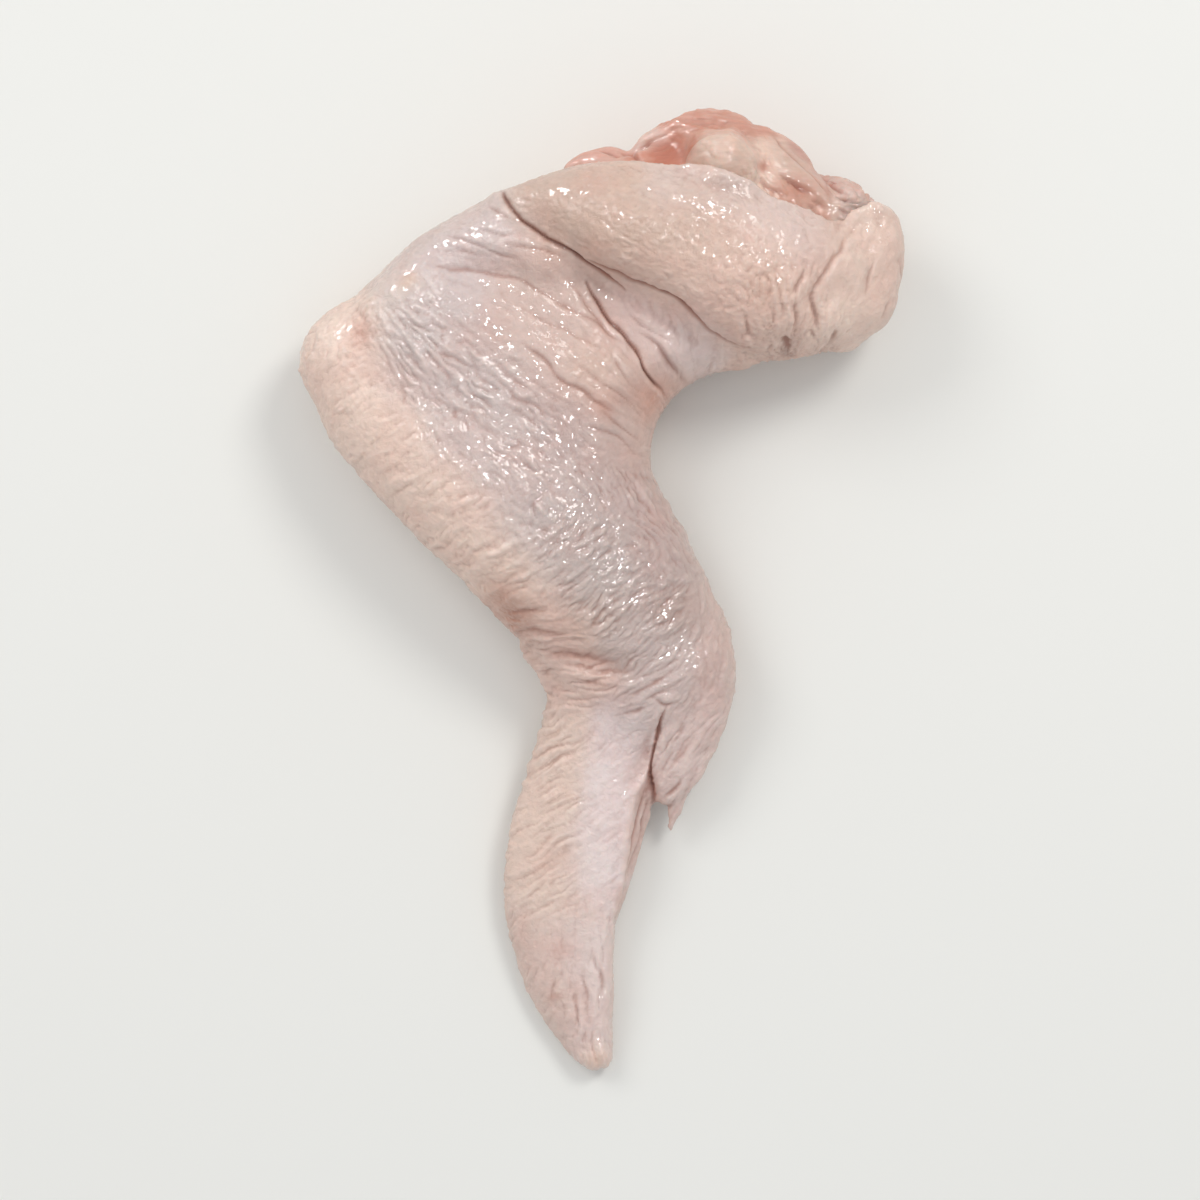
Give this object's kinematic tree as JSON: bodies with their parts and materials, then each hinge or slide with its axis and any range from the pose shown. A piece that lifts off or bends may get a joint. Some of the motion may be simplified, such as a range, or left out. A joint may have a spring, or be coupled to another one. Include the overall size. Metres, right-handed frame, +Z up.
{
  "type": "chicken wing",
  "caption": "Whole raw chicken wing with its skin on, bent at elbow and wrist, lying flat with the cut shoulder end showing muscle.",
  "frame": {"origin": "centre of the wing's bounding box in plan, on the surface that it lies on", "axes": "+Z up from the surface, +Y from the wing tip towards the shoulder end, +X from the elbow towards the cut shoulder end"},
  "size_m": [0.101, 0.1604, 0.034],
  "materials": {
    "skin": "raw poultry skin, moist, finely creased, peach to mauve pink",
    "muscle": "raw meat, wet, salmon pink",
    "cartilage": "wet cartilage, pale pink",
    "tendon": "wet sinew, pale pink"
  },
  "bodies": {
    "root": {"wing": "skin", "shoulder_muscle": "muscle", "joint_head": "cartilage", "sinew": "tendon"}
  },
  "joints": []
}
